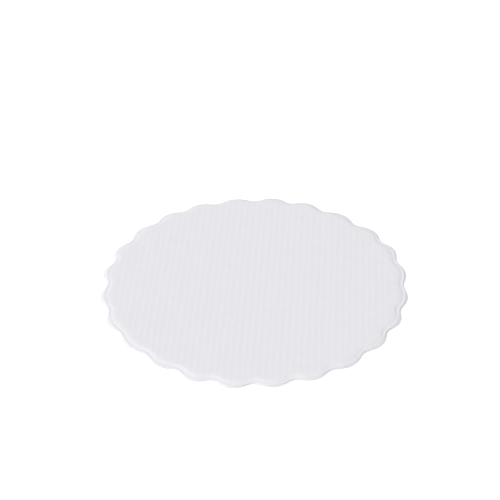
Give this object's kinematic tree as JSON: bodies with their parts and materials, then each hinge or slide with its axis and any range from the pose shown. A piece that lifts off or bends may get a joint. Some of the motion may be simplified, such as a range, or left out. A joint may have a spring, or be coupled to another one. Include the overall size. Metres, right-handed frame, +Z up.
{
  "type": "paper cup mat",
  "caption": "Round white multi-ply tissue cup mat with a fine embossed face, a pinched sloping rim and a scalloped edge. Soaks up drips under a cup or glass.",
  "frame": {"origin": "centre of the mat, on the plane of the table that it lies on", "axes": "+Z up, through the centre of the mat and out of the face that a cup stands on; the roots of scallops lie on the X and Y axes"},
  "size_m": [0.0894, 0.0894, 0.0008],
  "materials": {
    "tissue": "matte"
  },
  "bodies": {
    "root": {"bottom_ply": "tissue", "ply_2": "tissue", "ply_3": "tissue", "ply_4": "tissue", "ply_5": "tissue", "ply_6": "tissue", "ply_7": "tissue", "ply_8": "tissue", "top_ply": "tissue"}
  },
  "joints": []
}
